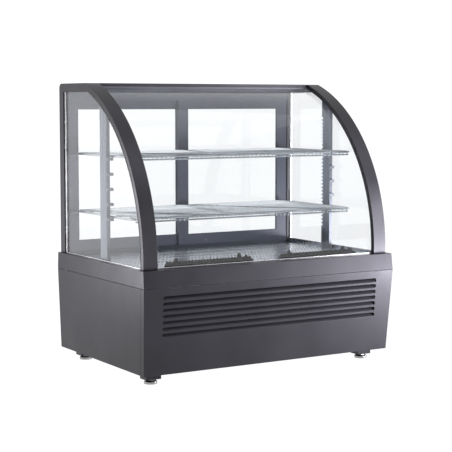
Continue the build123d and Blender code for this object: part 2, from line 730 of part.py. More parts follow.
# ---------------------------------------------------------------- inside of the case
def make_deck():
    """Deck that the lowest row of goods stands on, with its sides turned up along the side glasses."""
    rear = POST_FRONT - 0.5
    flange_x = (SIDE_GLASS_X - 0.5 - SHEET, SIDE_GLASS_X - 0.5)
    flange_front = -185.0
    with BuildPart() as deck:
        block((-SIDE_GLASS_X - 5, TUB_FRONT - 6, DECK_Z), (SIDE_GLASS_X + 5, rear, DECK_Z + DECK_THICK))
        both_sides((flange_x[0], flange_front, DECK_Z), (flange_x[1], rear, DECK_FLANGE_TOP))
    save(deck.part, "deck")


VENTS = ((-268.0, -35.0), (36.0, 258.0))
VENT_FRONT = -187.0
VENT_REAR = -177.0


def make_air_vents():
    """Two comb-shaped air vents along the front of the deck, with three round knobs on each."""
    bottom = DECK_Z + DECK_THICK
    base = 16.5
    tooth_top = 20.5
    tooth = 3.0
    pitch = 8.0
    middle_y = (VENT_FRONT + VENT_REAR) / 2
    knob_length = VENT_REAR - VENT_FRONT - 1
    large_r, large_z = 7.0, 22.5
    small_r, small_z = 5.0, 19.5
    with BuildPart() as vents:
        for start, end in VENTS:
            block((start, VENT_FRONT, bottom), (end, VENT_REAR, bottom + base))
            for index in range(int((end - start) / pitch)):
                x = start + pitch * (index + 0.5)
                block((x - tooth / 2, VENT_FRONT + 1, bottom + base),
                      (x + tooth / 2, VENT_REAR - 1, bottom + tooth_top))
            for x in (start + 30, end - 38):
                rod((x, middle_y, bottom + large_z), large_r, knob_length, "y")
            rod((end - 19, middle_y, bottom + small_z), small_r, knob_length, "y")
    save(vents.part, "air_vents")


def led_corners():
    """Opposite corners of the right-hand light strip."""
    return ((PILASTER_X[0], LED_FRONT, LED_BOTTOM), (PILASTER_X[0] + LED_THICK, PILASTER_REAR, LED_TOP))


def make_pilasters():
    """Shelf-support posts inside both side glasses, cut to the curve of the front glass at the top."""
    bottom = DECK_Z + DECK_THICK
    inner_x, outer_x = PILASTER_X
    with BuildPart() as pilasters:
        both_sides((inner_x, PILASTER_FRONT, bottom), (outer_x, PILASTER_REAR, HEIGHT))
        with BuildSketch(Plane.YZ):
            with Locations((ARC_Y, ARC_Z)):
                Circle(FRONT_GLASS_R - GLASS - 1)
        extrude(amount=HALF, both=True, mode=Mode.INTERSECT)
        both_sides((inner_x + PILASTER_WALL, PILASTER_FRONT + PILASTER_WALL, bottom),
                   (outer_x - PILASTER_WALL, PILASTER_REAR - PILASTER_WALL, HEIGHT), Mode.SUBTRACT)
        both_sides(*led_corners(), Mode.SUBTRACT)
    save(pilasters.part, "pilasters")


def make_led_strips():
    """Light strips let into the rear inner corner of both pilasters."""
    with BuildPart() as strips:
        both_sides(*led_corners())
    save(strips.part, "led_strips")


def make_shelf_supports():
    """Hooks on the pilasters at five levels, and a clip on each rear post at the two shelf levels."""
    lowest = SHELF_LEVELS["shelf_lower"] - SHELF_WIRE_R - 0.1
    highest = SHELF_LEVELS["shelf_upper"] - SHELF_WIRE_R - 0.1
    step = (highest - lowest) / (HOOK_LEVELS - 1)
    hook_x = (SHELF_X - 3.6, PILASTER_X[1])
    clip_x = (SHELF_X - 5, FRAME_X - FRAME_BAR + 1.5)
    with BuildPart() as supports:
        for level in range(HOOK_LEVELS):
            top = lowest + step * level
            both_sides((hook_x[0], PILASTER_FRONT - HOOK_DEPTH, top - HOOK_HEIGHT),
                       (hook_x[1], PILASTER_FRONT, top))
        for top in (lowest, highest):
            both_sides((clip_x[0], SHELF_REAR - 10, top - CLIP_THICK), (clip_x[1], POST_FRONT, top))
    save(supports.part, "shelf_supports")


def make_shelf(name, level):
    """Chrome wire shelf: frame wire, cross wires, and fine wires turned down over a lower front wire."""
    frame_x = SHELF_X - SHELF_WIRE_R
    front = SHELF_FRONT + SHELF_WIRE_R
    rear = SHELF_REAR - SHELF_WIRE_R
    corner = 14.0
    lip_depth = LIP_DROP + LIP_WIRE_R + 0.5
    with BuildPart() as shelf:
        with BuildLine() as loop:
            FilletPolyline((-frame_x, front, level), (frame_x, front, level), (frame_x, rear, level),
                           (-frame_x, rear, level), radius=corner, close=True)
        with BuildSketch(Plane(origin=(0, front, level), z_dir=(1, 0, 0))):
            Circle(SHELF_WIRE_R)
        sweep(path=loop.wires()[0])
        for index in range(GRID_COUNT):
            x = -GRID_HALF + 2 * GRID_HALF * index / (GRID_COUNT - 1)
            rod((x, (front + rear) / 2, level + GRID_WIRE_R), GRID_WIRE_R, rear - front, "y")
            rod((x, front, level - lip_depth / 2), GRID_WIRE_R, lip_depth, "z")
        for index in range(CROSS_COUNT):
            y = front + (rear - front) * (index + 0.5) / CROSS_COUNT
            rod((0, y, level - CROSS_WIRE_R + 0.3), CROSS_WIRE_R, 2 * frame_x, "x")
        rod((0, front, level - LIP_DROP), LIP_WIRE_R, 2 * GRID_HALF + 10, "x")
    save(shelf.part, name)


# ---------------------------------------------------------------- rear doors
SILL_BASE_TOP = DOOR_BOTTOM - 0.3
SILL_RIB_TOP = 261.5
TRACK_RIBS = ((POST_FRONT, INNER_TRACK - 0.4), (211.9, 212.6), (OUTER_TRACK + DOOR_THICK + 0.4, 222.6))


def make_door_sill():
    """Bottom track: a base with three ribs that the doors slide between."""
    with BuildPart() as sill:
        block((-INSIDE_X, POST_FRONT, DECK_Z - 0.8), (INSIDE_X, TRACK_RIBS[-1][1], SILL_BASE_TOP))
        for start, end in TRACK_RIBS:
            block((-INSIDE_X, start, SILL_BASE_TOP), (INSIDE_X, end, SILL_RIB_TOP))
    save(sill.part, "door_sill")


def make_door_header():
    """Top track: a hollow header with three ribs that guide the doors."""
    bottom = 641.0
    rib_bottom = 628.0
    wall = 2.0
    with BuildPart() as header:
        block((-INSIDE_X, POST_FRONT, bottom), (INSIDE_X, REAR, TOP_PANEL_Z - 0.2))
        block((-INSIDE_X, POST_FRONT + wall, bottom + wall),
              (INSIDE_X, REAR - wall, TOP_PANEL_Z - 0.2 - wall), Mode.SUBTRACT)
        for start, end in TRACK_RIBS:
            block((-INSIDE_X, start, rib_bottom), (INSIDE_X, end, bottom))
    save(header.part, "door_header")


def make_door(side_name, side, track):
    """Sliding door: a grooved frame with a finger pull in its outer stile, and its glass."""
    edge = side * DOOR_EDGE_X
    lap = -side * STILE_LAP
    glass_outer = side * (DOOR_EDGE_X - OUTER_STILE)
    glass_inner = lap + side * INNER_STILE
    low_x, high_x = sorted((edge, lap))
    open_low, open_high = sorted((glass_outer, glass_inner))
    bottom, top = DOOR_OPENING
    groove = 6.0
    glass_y = track + (DOOR_THICK - DOOR_GLASS) / 2
    pull_x = side * (DOOR_EDGE_X - OUTER_STILE / 2)
    pull_size = (18.0, 90.0)
    pull_depth = 6.0
    with BuildPart() as frame:
        block((low_x, track, DOOR_BOTTOM), (high_x, track + DOOR_THICK, DOOR_TOP))
        block((open_low, track, bottom), (open_high, track + DOOR_THICK, top), Mode.SUBTRACT)
        block((open_low - groove, glass_y - 0.1, bottom - groove),
              (open_high + groove, glass_y + DOOR_GLASS + 0.1, top + groove), Mode.SUBTRACT)
        with BuildSketch(Plane.XZ.offset(-(track + DOOR_THICK))):
            with Locations((pull_x, (bottom + top) / 2)):
                SlotOverall(pull_size[1], pull_size[0], rotation=90)
        extrude(amount=pull_depth, mode=Mode.SUBTRACT)
    save(frame.part, f"door_frame_{side_name}")
    with BuildPart() as pane:
        block((open_low - groove + 0.5, glass_y, bottom - groove + 0.5),
              (open_high + groove - 0.5, glass_y + DOOR_GLASS, top + groove - 0.5))
    save(pane.part, f"door_glass_{side_name}")


# ---------------------------------------------------------------- build everything
make_front_panel()
make_side_panel("side_panel_left", -1)
make_side_panel("side_panel_right", 1)
make_rear_panel()
make_rim_band()
make_base_pan()
make_foot_brackets()
for foot_name, foot_x, foot_y in foot_places():
    make_foot(foot_name, foot_x, foot_y)

make_compressor()
make_grommets()
make_coil("condenser_coil", CONDENSER_LOW, CONDENSER_HIGH, 32, 5, 2)
make_fan_plate("condenser_shroud", CONDENSER_PLATE[0], CONDENSER_PLATE[1], CONDENSER_FAN, CONDENSER_FAN_R)
make_fan("condenser_fan", CONDENSER_FAN, CONDENSER_FAN_R)
make_fan_motor("condenser_fan_motor", CONDENSER_FAN, PAN_Z + PAN_SHEET)
make_coil("evaporator_coil", EVAPORATOR_LOW, EVAPORATOR_HIGH, 32, 3, 3)
make_fan_plate("evaporator_fan_plate", EVAPORATOR_PLATE[0], EVAPORATOR_PLATE[1], EVAPORATOR_FAN,
               EVAPORATOR_FAN_R)
make_fan("evaporator_fan", EVAPORATOR_FAN, EVAPORATOR_FAN_R)
make_fan_motor("evaporator_fan_motor", EVAPORATOR_FAN, TUB_BOTTOM + TUB_FLOOR)
make_condensate_tray()
make_filter_drier()
make_refrigerant_lines()
make_terminal_box()
make_insulated_tub()

make_control_panel()
for button_name, button_x in BUTTONS.items():
    make_button(button_name, button_x)
for rocker_name, rocker_x in ROCKERS.items():
    make_rocker(rocker_name, rocker_x)
make_power_inlet()
make_screws()

make_curved("arch_left", ARCH_R, ARCH_R - ARCH_THICK, -FRAME_X, -FRAME_X + ARCH_WIDTH, RIM_TOP, ARCH_END_Y)
make_curved("arch_right", ARCH_R, ARCH_R - ARCH_THICK, FRAME_X - ARCH_WIDTH, FRAME_X, RIM_TOP, ARCH_END_Y)
make_curved("front_glass", FRONT_GLASS_R, FRONT_GLASS_R - GLASS, -FRAME_X + 1, FRAME_X - 1,
            RIM_TOP + 0.2, GLASS_TOP_Y)
make_side_glass("side_glass_left", -1)
make_side_glass("side_glass_right", 1)
make_side_bar("side_bar_left", -1)
make_side_bar("side_bar_right", 1)
make_rear_post("rear_post_left", -1)
make_rear_post("rear_post_right", 1)
make_top_panel()
make_glass_top_channel()
make_ceiling_panel()
make_glass_beads()

make_deck()
make_air_vents()
make_pilasters()
make_led_strips()
make_shelf_supports()
for shelf_name, shelf_level in SHELF_LEVELS.items():
    make_shelf(shelf_name, shelf_level)

make_door_sill()
make_door_header()
make_door("left", -1, OUTER_TRACK)
make_door("right", 1, INNER_TRACK)
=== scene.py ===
"""Looks of the countertop refrigerated display case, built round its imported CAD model.

Metres, in the CAD frame: +X to the right as seen from the front, +Y to the back, +Z up.
"""
import json
import math

import bmesh
import bpy
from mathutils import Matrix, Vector


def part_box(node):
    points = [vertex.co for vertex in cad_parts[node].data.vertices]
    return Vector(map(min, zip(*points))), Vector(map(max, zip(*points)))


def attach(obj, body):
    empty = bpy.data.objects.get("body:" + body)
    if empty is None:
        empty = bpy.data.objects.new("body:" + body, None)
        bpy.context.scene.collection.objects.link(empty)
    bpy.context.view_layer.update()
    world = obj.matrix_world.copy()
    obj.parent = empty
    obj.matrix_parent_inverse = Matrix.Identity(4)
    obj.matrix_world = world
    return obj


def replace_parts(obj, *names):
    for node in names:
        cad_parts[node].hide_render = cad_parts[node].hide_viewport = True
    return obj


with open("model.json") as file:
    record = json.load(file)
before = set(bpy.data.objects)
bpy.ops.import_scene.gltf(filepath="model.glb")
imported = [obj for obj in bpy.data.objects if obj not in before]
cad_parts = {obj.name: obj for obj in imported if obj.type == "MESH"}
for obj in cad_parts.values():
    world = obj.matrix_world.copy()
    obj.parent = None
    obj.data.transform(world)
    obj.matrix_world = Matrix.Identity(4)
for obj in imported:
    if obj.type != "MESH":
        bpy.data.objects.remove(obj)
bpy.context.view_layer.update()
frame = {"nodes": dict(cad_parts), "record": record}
NODES = frame["nodes"]
SLOT_OF = {part["node"]: part["material_slot"] for part in frame["record"]["subparts"]}
BODIES = frame["record"]["behaviour"]["bodies"]
BODY_OF = {node: body for body, nodes in BODIES.items() for node in nodes}
MM = 0.001


# ---------------------------------------------------------------- materials
class Surface:
    """A procedural material: one Principled shader, with patterns in the piece's own frame."""

    def __init__(self, name, colour, **values):
        self.material = bpy.data.materials.new(name)
        self.material.use_nodes = True
        self.tree = self.material.node_tree
        self.shader = self.tree.nodes["Principled BSDF"]
        self.colour = (*colour, 1)
        self.shader.inputs["Base Color"].default_value = self.colour
        for name_of_value, value in values.items():
            self.shader.inputs[name_of_value.replace("_", " ")].default_value = value

    def node(self, kind, **inputs):
        """New node, with some of its inputs set or linked."""
        made = self.tree.nodes.new(kind)
        for key, value in inputs.items():
            socket = made.inputs[key.replace("_", " ")]
            if isinstance(value, bpy.types.NodeSocket):
                self.tree.links.new(value, socket)
            else:
                socket.default_value = value
        return made

    def place(self, stretch=(1, 1, 1)):
        """Position in the piece's own frame, stretched along each axis."""
        position = self.node("ShaderNodeTexCoord").outputs["Object"]
        return self.node("ShaderNodeMapping", Vector=position, Scale=stretch).outputs["Vector"]

    def noise(self, scale, detail=2.0, stretch=(1, 1, 1)):
        """Cloudy pattern; scale is in repeats per metre."""
        return self.node("ShaderNodeTexNoise", Vector=self.place(stretch), Scale=scale,
                         Detail=detail).outputs["Fac"]

    def cells(self, scale, stretch=(1, 1, 1)):
        """Grainy pattern of rounded cells."""
        return self.node("ShaderNodeTexVoronoi", Vector=self.place(stretch),
                         Scale=scale).outputs["Distance"]

    def ranged(self, pattern, low, high, start=0.3, end=0.7):
        """The pattern's values from start to end, spread from low to high."""
        spread = self.node("ShaderNodeMapRange", Value=pattern, From_Min=start, From_Max=end,
                           To_Min=low, To_Max=high)
        return spread.outputs["Result"]

    def vary_colour(self, pattern, other, start=0.3, end=0.7):
        """Base colour that goes over to another one with the pattern."""
        mix = self.tree.nodes.new("ShaderNodeMix")
        mix.data_type = "RGBA"
        self.tree.links.new(self.ranged(pattern, 0, 1, start, end), mix.inputs[0])
        mix.inputs[6].default_value = self.colour
        mix.inputs[7].default_value = (*other, 1)
        self.tree.links.new(mix.outputs[2], self.shader.inputs["Base Color"])
        return self

    def vary_roughness(self, pattern, low, high):
        """Roughness between two values, following the pattern."""
        self.tree.links.new(self.ranged(pattern, low, high), self.shader.inputs["Roughness"])
        return self

    def bump(self, pattern, height, strength=1.0):
        """Relief of the pattern, height in metres, on top of any relief that is there already."""
        bump = self.node("ShaderNodeBump", Height=pattern, Distance=height, Strength=strength)
        normal = self.shader.inputs["Normal"]
        if normal.is_linked:
            self.tree.links.new(normal.links[0].from_socket, bump.inputs["Normal"])
        self.tree.links.new(bump.outputs["Normal"], normal)
        return self


COOL_SHEEN = (0.90, 0.88, 1.0, 1)  # slight blue in the highlights of the paint


def powder_coat(name, colour, other, low, high, gloss=0.26):
    """Satin powder coat: fine orange peel and faint clouds in gloss and shade."""
    coat = Surface(name, colour, Specular_IOR_Level=gloss, Specular_Tint=COOL_SHEEN)
    coat.vary_colour(coat.noise(9, 3), other)
    coat.vary_roughness(coat.noise(14, 4), low, high)
    coat.bump(coat.noise(520, 1), 0.00008, 0.35)
    coat.bump(coat.noise(2600, 1), 0.00003, 0.3)
    return coat


def plain_metal(name, colour, other, low, high, stretch=(1, 1, 1), grain=900):
    """Metal with a grain, stretched where it is brushed."""
    metal = Surface(name, colour, Metallic=1.0)
    metal.vary_colour(metal.noise(30, 3, stretch), other)
    metal.vary_roughness(metal.noise(grain / 8, 3, stretch), low, high)
    metal.bump(metal.noise(grain, 2, stretch), 0.00004, 0.5)
    return metal


def moulded(name, colour, other, low, high, grain=1500, gloss=0.5):
    """Moulded plastic or rubber with a fine grain."""
    plastic = Surface(name, colour, Specular_IOR_Level=gloss)
    plastic.vary_colour(plastic.noise(40, 2), other)
    plastic.vary_roughness(plastic.noise(60, 3), low, high)
    plastic.bump(plastic.cells(grain), 0.00006, 0.4)
    return plastic


def clear_glass(name, colour, gloss=0.2):
    """Clear toughened glass with a very slight roller wave and faint dust in the gloss."""
    glass = Surface(name, colour, Transmission_Weight=1.0, IOR=1.45, Specular_IOR_Level=gloss)
    glass.vary_roughness(glass.noise(25, 4), 0.0, 0.012)
    glass.bump(glass.noise(3, 1), 0.0002, 0.15)
    return glass


PANEL = powder_coat("painted_panel", (0.017, 0.016, 0.019), (0.021, 0.020, 0.024), 0.34, 0.44)
FRAME = powder_coat("painted_frame", (0.019, 0.018, 0.021), (0.024, 0.023, 0.026), 0.34, 0.44, 0.36)
RAIL = powder_coat("rail_grey", (0.046, 0.052, 0.068), (0.054, 0.060, 0.077), 0.30, 0.40)
CHANNEL = powder_coat("top_channel", (0.10, 0.105, 0.118), (0.12, 0.125, 0.138), 0.26, 0.36)
GLASS = clear_glass("clear_glass", (0.972, 0.982, 0.99))
SIDE_GLASS = clear_glass("side_glass", (0.972, 0.982, 0.99), 0.4)
TRIM = plain_metal("aluminium_trim", (0.78, 0.78, 0.80), (0.68, 0.68, 0.70), 0.18, 0.30, (0.04, 1, 1))
PILASTER = plain_metal("pilaster_steel", (0.22, 0.235, 0.27), (0.17, 0.185, 0.22), 0.24, 0.36, (1, 1, 0.04))
CHROME = plain_metal("chrome_wire", (0.84, 0.88, 0.92), (0.66, 0.70, 0.74), 0.05, 0.14)
DECK = plain_metal("deck_steel", (0.50, 0.54, 0.60), (0.44, 0.48, 0.54), 0.22, 0.30, (0.03, 1, 1))
BLACK = moulded("black_plastic", (0.014, 0.014, 0.016), (0.022, 0.022, 0.025), 0.42, 0.60)
COMB = moulded("comb_plastic", (0.006, 0.006, 0.009), (0.010, 0.010, 0.014), 0.50, 0.64, gloss=0.2)
BUTTON = moulded("button_plastic", (0.045, 0.045, 0.050), (0.060, 0.060, 0.066), 0.24, 0.34)
ZINC_SHEET = plain_metal("galvanised", (0.56, 0.58, 0.60), (0.44, 0.46, 0.48), 0.34, 0.52)
ENAMEL = powder_coat("black_steel", (0.014, 0.014, 0.016), (0.020, 0.020, 0.023), 0.25, 0.36)
RUBBER = moulded("rubber", (0.016, 0.016, 0.016), (0.024, 0.024, 0.024), 0.65, 0.80)
FINS = plain_metal("coil_aluminium", (0.70, 0.71, 0.72), (0.56, 0.57, 0.58), 0.32, 0.48)
MOTOR = plain_metal("motor_steel", (0.42, 0.42, 0.44), (0.34, 0.34, 0.36), 0.30, 0.45)
COPPER = plain_metal("copper", (0.74, 0.36, 0.22), (0.56, 0.26, 0.16), 0.18, 0.36)
LINER = moulded("foam_liner", (0.78, 0.80, 0.81), (0.72, 0.74, 0.75), 0.36, 0.50)
FOOT_ZINC = plain_metal("zinc_foot", (0.36, 0.35, 0.35), (0.26, 0.25, 0.25), 0.20, 0.36)
SCREW = plain_metal("screw_steel", (0.66, 0.66, 0.67), (0.52, 0.52, 0.53), 0.18, 0.30)
LIGHT = Surface("light_strip", (0.92, 0.95, 1.0), Roughness=0.35, Emission_Color=(0.90, 0.95, 1.0, 1),
                Emission_Strength=0.9)
LIGHT.bump(LIGHT.cells(420), 0.0001, 0.4)
LIGHT.vary_colour(LIGHT.noise(60, 2), (0.86, 0.90, 0.98))
STRIP = moulded("light_strip_body", (0.30, 0.34, 0.40), (0.26, 0.30, 0.36), 0.30, 0.42)
SCREEN = Surface("display_window", (0.012, 0.012, 0.015), Coat_Weight=0.6, Coat_Roughness=0.05)
SCREEN.vary_roughness(SCREEN.noise(30, 3), 0.06, 0.14)
SEGMENT = Surface("display_segments", (0.10, 0.02, 0.02), Roughness=0.4)
SEGMENT.vary_colour(SEGMENT.noise(300, 2), (0.14, 0.03, 0.03))

MATERIAL_OF_SLOT = {
    "painted_panel": PANEL, "painted_frame": FRAME, "rail_grey": RAIL, "clear_glass": GLASS,
    "aluminium_trim": TRIM, "pilaster_steel": PILASTER, "light_strip": LIGHT, "chrome_wire": CHROME,
    "deck_steel": DECK, "black_plastic": BLACK, "button_plastic": BUTTON, "galvanised": ZINC_SHEET,
    "black_steel": ENAMEL, "rubber": RUBBER, "coil_aluminium": FINS, "motor_steel": MOTOR,
    "copper": COPPER, "foam_liner": LINER, "zinc_foot": FOOT_ZINC, "screw_steel": SCREW,
}


# ---------------------------------------------------------------- pieces
SHARP = math.radians(32)  # an edge is broken and shaded sharp from this angle
MERGE = 1e-6  # vertices nearer than this are one
NEARLY_FLAT = math.radians(0.5)


def finish_material(obj, surface):
    """Only this material on the whole piece."""
    obj.data.materials.clear()
    obj.data.materials.append(surface.material)


def add_piece(name, bm, body, slot, stands_for=(), surface=None):
    """Put a finished mesh into the scene, riding on a CAD body."""
    mesh = bpy.data.meshes.new(name)
    bmesh.ops.recalc_face_normals(bm, faces=bm.faces)
    bm.to_mesh(mesh)
    bm.free()
    mesh.shade_smooth()
    mesh.set_sharp_from_angle(angle=SHARP)
    obj = bpy.data.objects.new(name, mesh)
    bpy.context.scene.collection.objects.link(obj)
    finish_material(obj, surface or MATERIAL_OF_SLOT[slot])
    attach(obj, body)
    if stands_for:
        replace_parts(obj, *stands_for)
    return obj


def soften(obj, width, segments=2):
    """Break the sharp edges of a piece."""
    bevel = obj.modifiers.new("edges", "BEVEL")
    bevel.width = width
    bevel.segments = segments
    bevel.limit_method = "ANGLE"
    bevel.angle_limit = SHARP
    bevel.use_clamp_overlap = True
    bevel.harden_normals = True


def rounded(node, width, segments=2):
    """The CAD node's own shape with its sharp edges broken, as a piece that stands for it."""
    bm = bmesh.new()
    bm.from_mesh(NODES[node].data)
    bmesh.ops.remove_doubles(bm, verts=bm.verts, dist=MERGE)
    bmesh.ops.dissolve_limit(bm, angle_limit=NEARLY_FLAT, verts=bm.verts, edges=bm.edges)
    obj = add_piece(f"{node}_finished", bm, BODY_OF[node], SLOT_OF[node], (node,))
    soften(obj, width, segments)
    return obj


def full_turn(steps):
    """Angles of evenly spaced points round a circle."""
    return [2 * math.pi * step / steps for step in range(steps)]


def box_faces(bm, low, high):
    """Closed box between two corners, added to a mesh."""
    made = bmesh.ops.create_cube(bm, size=1.0)["verts"]
    for vert in made:
        vert.co = Vector([(a + b) / 2 + c * (b - a) for a, b, c in zip(low, high, vert.co)])
    return made


def ring_faces(bm, rings, closed=False):
    """Faces from each ring of vertices to the next, with flat ends unless they form a loop."""
    following_rings = rings[1:] + rings[:1] if closed else rings[1:]
    for here, there in zip(rings, following_rings):
        for step in range(len(here)):
            following = (step + 1) % len(here)
            bm.faces.new((here[step], here[following], there[following], there[step]))
    if not closed:
        bm.faces.new(rings[0])
        bm.faces.new(rings[-1])


def tube_faces(bm, points, radius, sides=8, closed=False):
    """Round wire through points, added to a mesh, with flat ends unless it is a loop."""
    count = len(points)
    rings = []
    for index, point in enumerate(points):
        before = points[index - 1] if index or closed else point
        after = points[(index + 1) % count] if index < count - 1 or closed else point
        along = (after - before).normalized()
        side = (side - side.project(along) if rings else along.orthogonal()).normalized()
        up = along.cross(side)
        rings.append([bm.verts.new(point + radius * (math.cos(turn) * side + math.sin(turn) * up))
                      for turn in full_turn(sides)])
    ring_faces(bm, rings, closed)


def arc_points(centre, radius, start, end, steps, plane="xy"):
    """Points along an arc, angles in degrees, in a plane through the centre."""
    first, second = "xyz".index(plane[0]), "xyz".index(plane[1])
    points = []
    for step in range(steps + 1):
        turn = math.radians(start + (end - start) * step / steps)
        point = Vector(centre)
        point[first] += radius * math.cos(turn)
        point[second] += radius * math.sin(turn)
        points.append(point)
    return points


# ---------------------------------------------------------------- upper frame
ARC_Y, ARC_Z = 213.3 * MM, 271.9 * MM  # middle of the arched front
ARCH_OUTER, ARCH_INNER = 420 * MM, 408.5 * MM  # its radii
REAR_CORNER = 12 * MM
REAR_CORNER_STEPS = 8
FRAME_EDGE = 1.3 * MM


def arch_points(radius, start_z, end_z, steps):
    """Points (y, z) up the arched front between two heights."""
    first, last = (math.asin((z - ARC_Z) / radius) for z in (start_z, end_z))
    turns = [first + (last - first) * step / steps for step in range(steps + 1)]
    return [(ARC_Y - radius * math.cos(turn), ARC_Z + radius * math.sin(turn)) for turn in turns]


def side_frame(name, side):
    """Arch, top side bar and rear post of one side as one seamless frame."""
    nodes = (f"arch_{name}", f"side_bar_{name}", f"rear_post_{name}")
    arch_low, arch_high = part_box(nodes[0])
    bar_low, bar_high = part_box(nodes[1])
    post_low, post_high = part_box(nodes[2])
    flange, outer = (side * reach for reach in sorted((abs(arch_low.x), abs(arch_high.x))))
    step = side * min(abs(bar_low.x), abs(bar_high.x))
    bottom, top = arch_low.z, arch_high.z
    end_y = arch_high.y
    end_z = ARC_Z + math.sqrt(ARCH_INNER**2 - (end_y - ARC_Y)**2)
    lower_steps, upper_steps = 36, 8
    outside = arch_points(ARCH_OUTER, bottom, top, lower_steps + upper_steps) + [(end_y, top)]
    inside = (arch_points(ARCH_INNER, bottom, bar_low.z, lower_steps)
              + arch_points(ARCH_INNER, bar_low.z, end_z, upper_steps)[1:])
    corner = [(y, z) for _, y, z in arc_points((0, post_high.y - REAR_CORNER, top - REAR_CORNER),
                                               REAR_CORNER, 90, 0, REAR_CORNER_STEPS, "yz")]
    back = [outside[-1]] + corner + [(post_high.y, bottom)]
    under = [(post_low.y, bottom), (post_low.y, bar_low.z), inside[lower_steps]]
    bm = bmesh.new()
    made = {}

    def vert(x, point):
        if (x, point) not in made:
            made[(x, point)] = bm.verts.new((x, *point))
        return made[(x, point)]

    def wall(points, near, far):
        for first, second in zip(points, points[1:]):
            bm.faces.new((vert(near, first), vert(near, second), vert(far, second), vert(far, first)))

    def cap(x, points):
        bm.faces.new([vert(x, point) for point in points])

    for near, far in ((flange, step), (step, outer)):
        wall(outside, near, far)
        wall([outside[0], inside[0]], near, far)
        wall(inside[:lower_steps + 1], near, far)
    wall(inside[lower_steps:] + [outside[-1]], flange, step)
    wall(back + under, step, outer)
    for x in (flange, outer):
        for index in range(lower_steps + upper_steps):
            cap(x, (outside[index], outside[index + 1], inside[index + 1], inside[index]))
    cap(flange, (outside[-2], outside[-1], inside[-1]))
    cap(outer, outside[-2:-1] + back + under + inside[lower_steps + 1:])
    cap(step, back + under + inside[lower_steps + 1:])
    soften(add_piece(f"side_frame_{name}", bm, "cabinet", "painted_frame", nodes), FRAME_EDGE)


# ---------------------------------------------------------------- front panel
LOUVRES = [(198.3 - 14 * row) * MM for row in range(7)]  # heights of the slots, from the top
LOUVRE_HALF = 287.25 * MM  # half length of the straight part
LOUVRE_R = 4.75 * MM
LOUVRE_END_STEPS = 10
BAND = 7 * MM  # half the spacing of the louvres
PANEL_SHEET = 1.2 * MM
PANEL_RETURN = 16 * MM  # depth of the returns round the corners
LEAN_FRONT = 16.0 / 195.5  # step back of the face per height, going down
LEAN_SIDE = 7.0 / 195.5  # narrowing at each side, the same way
BLADE_SET = 0.3 * MM  # from the face of the panel, and from the slot's lower edge
BLADE_TOP_FRONT, BLADE_TOP_BACK = 7.7 * MM, 8.9 * MM  # behind the blade's foot
BLADE_REACH = 2.5 * MM  # past the straight part of the slot, at each end
PANEL_EDGE = 0.4 * MM


def louvred_front():
    """Pressed front sheet with returns round both corners, capsule slots and sloped blades."""
    low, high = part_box("front_panel")
    bm = bmesh.new()
    made = {}

    def face_y(z):
        return low.y + (high.z - z) * LEAN_FRONT

    def half(z):
        return high.x - (high.z - z) * LEAN_SIDE

    def vert(x, z, back=0.0):
        key = (round(x, 7), round(z, 7), back)
        if key not in made:
            made[key] = bm.verts.new((x, face_y(z) + back, z))
        return made[key]

    def slot_end(side, z):
        turns = [math.radians(90 - 180 * step / LOUVRE_END_STEPS) for step in range(LOUVRE_END_STEPS + 1)]
        return [vert(side * (LOUVRE_HALF + LOUVRE_R * math.cos(turn)), z + LOUVRE_R * math.sin(turn))
                for turn in turns]

    for z in LOUVRES:
        for level, edge in ((z + BAND, z + LOUVRE_R), (z - BAND, z - LOUVRE_R)):
            bm.faces.new((vert(-LOUVRE_HALF, level), vert(LOUVRE_HALF, level),
                          vert(LOUVRE_HALF, edge), vert(-LOUVRE_HALF, edge)))
        for side in (-1, 1):
            around = [vert(side * LOUVRE_HALF, z - BAND), vert(side * half(z - BAND), z - BAND),
                      vert(side * half(z + BAND), z + BAND), vert(side * LOUVRE_HALF, z + BAND)]
            bm.faces.new(around + slot_end(side, z))
    for lower, upper in ((low.z, LOUVRES[-1] - BAND), (LOUVRES[0] + BAND, high.z)):
        columns = ((-half(lower), -half(upper)), (-LOUVRE_HALF, -LOUVRE_HALF),
                   (LOUVRE_HALF, LOUVRE_HALF), (half(lower), half(upper)))
        for (low_a, high_a), (low_b, high_b) in zip(columns, columns[1:]):
            bm.faces.new((vert(low_a, lower), vert(low_b, lower), vert(high_b, upper), vert(high_a, upper)))
    levels = [low.z] + [z - BAND for z in reversed(LOUVRES)] + [LOUVRES[0] + BAND, high.z]
    for side in (-1, 1):
        for lower, upper in zip(levels, levels[1:]):
            bm.faces.new((vert(side * half(lower), lower), vert(side * half(upper), upper),
                          vert(side * half(upper), upper, PANEL_RETURN),
                          vert(side * half(lower), lower, PANEL_RETURN)))
    lining = bmesh.ops.extrude_face_region(bm, geom=bm.faces[:])["geom"]
    for item in lining:
        if isinstance(item, bmesh.types.BMVert):
            place = item.co.copy()
            if abs(abs(place.x) - half(place.z)) < MERGE:
                item.co.x -= math.copysign(PANEL_SHEET, place.x)
            if abs(place.y - face_y(place.z)) < MERGE:
                item.co.y += PANEL_SHEET
    blade_half = LOUVRE_HALF + BLADE_REACH
    for z in LOUVRES:
        foot, head = z - LOUVRE_R, z + LOUVRE_R
        y = face_y(foot) + BLADE_SET
        section = ((y, foot - PANEL_SHEET), (y + BLADE_TOP_BACK, head - PANEL_SHEET),
                   (y + BLADE_TOP_FRONT, head), (y, foot + BLADE_SET))
        ring_faces(bm, [[bm.verts.new((x, *point)) for point in section] for x in (-blade_half, blade_half)])
    soften(add_piece("front_panel_louvred", bm, "cabinet", "painted_panel", ("front_panel",)), PANEL_EDGE)


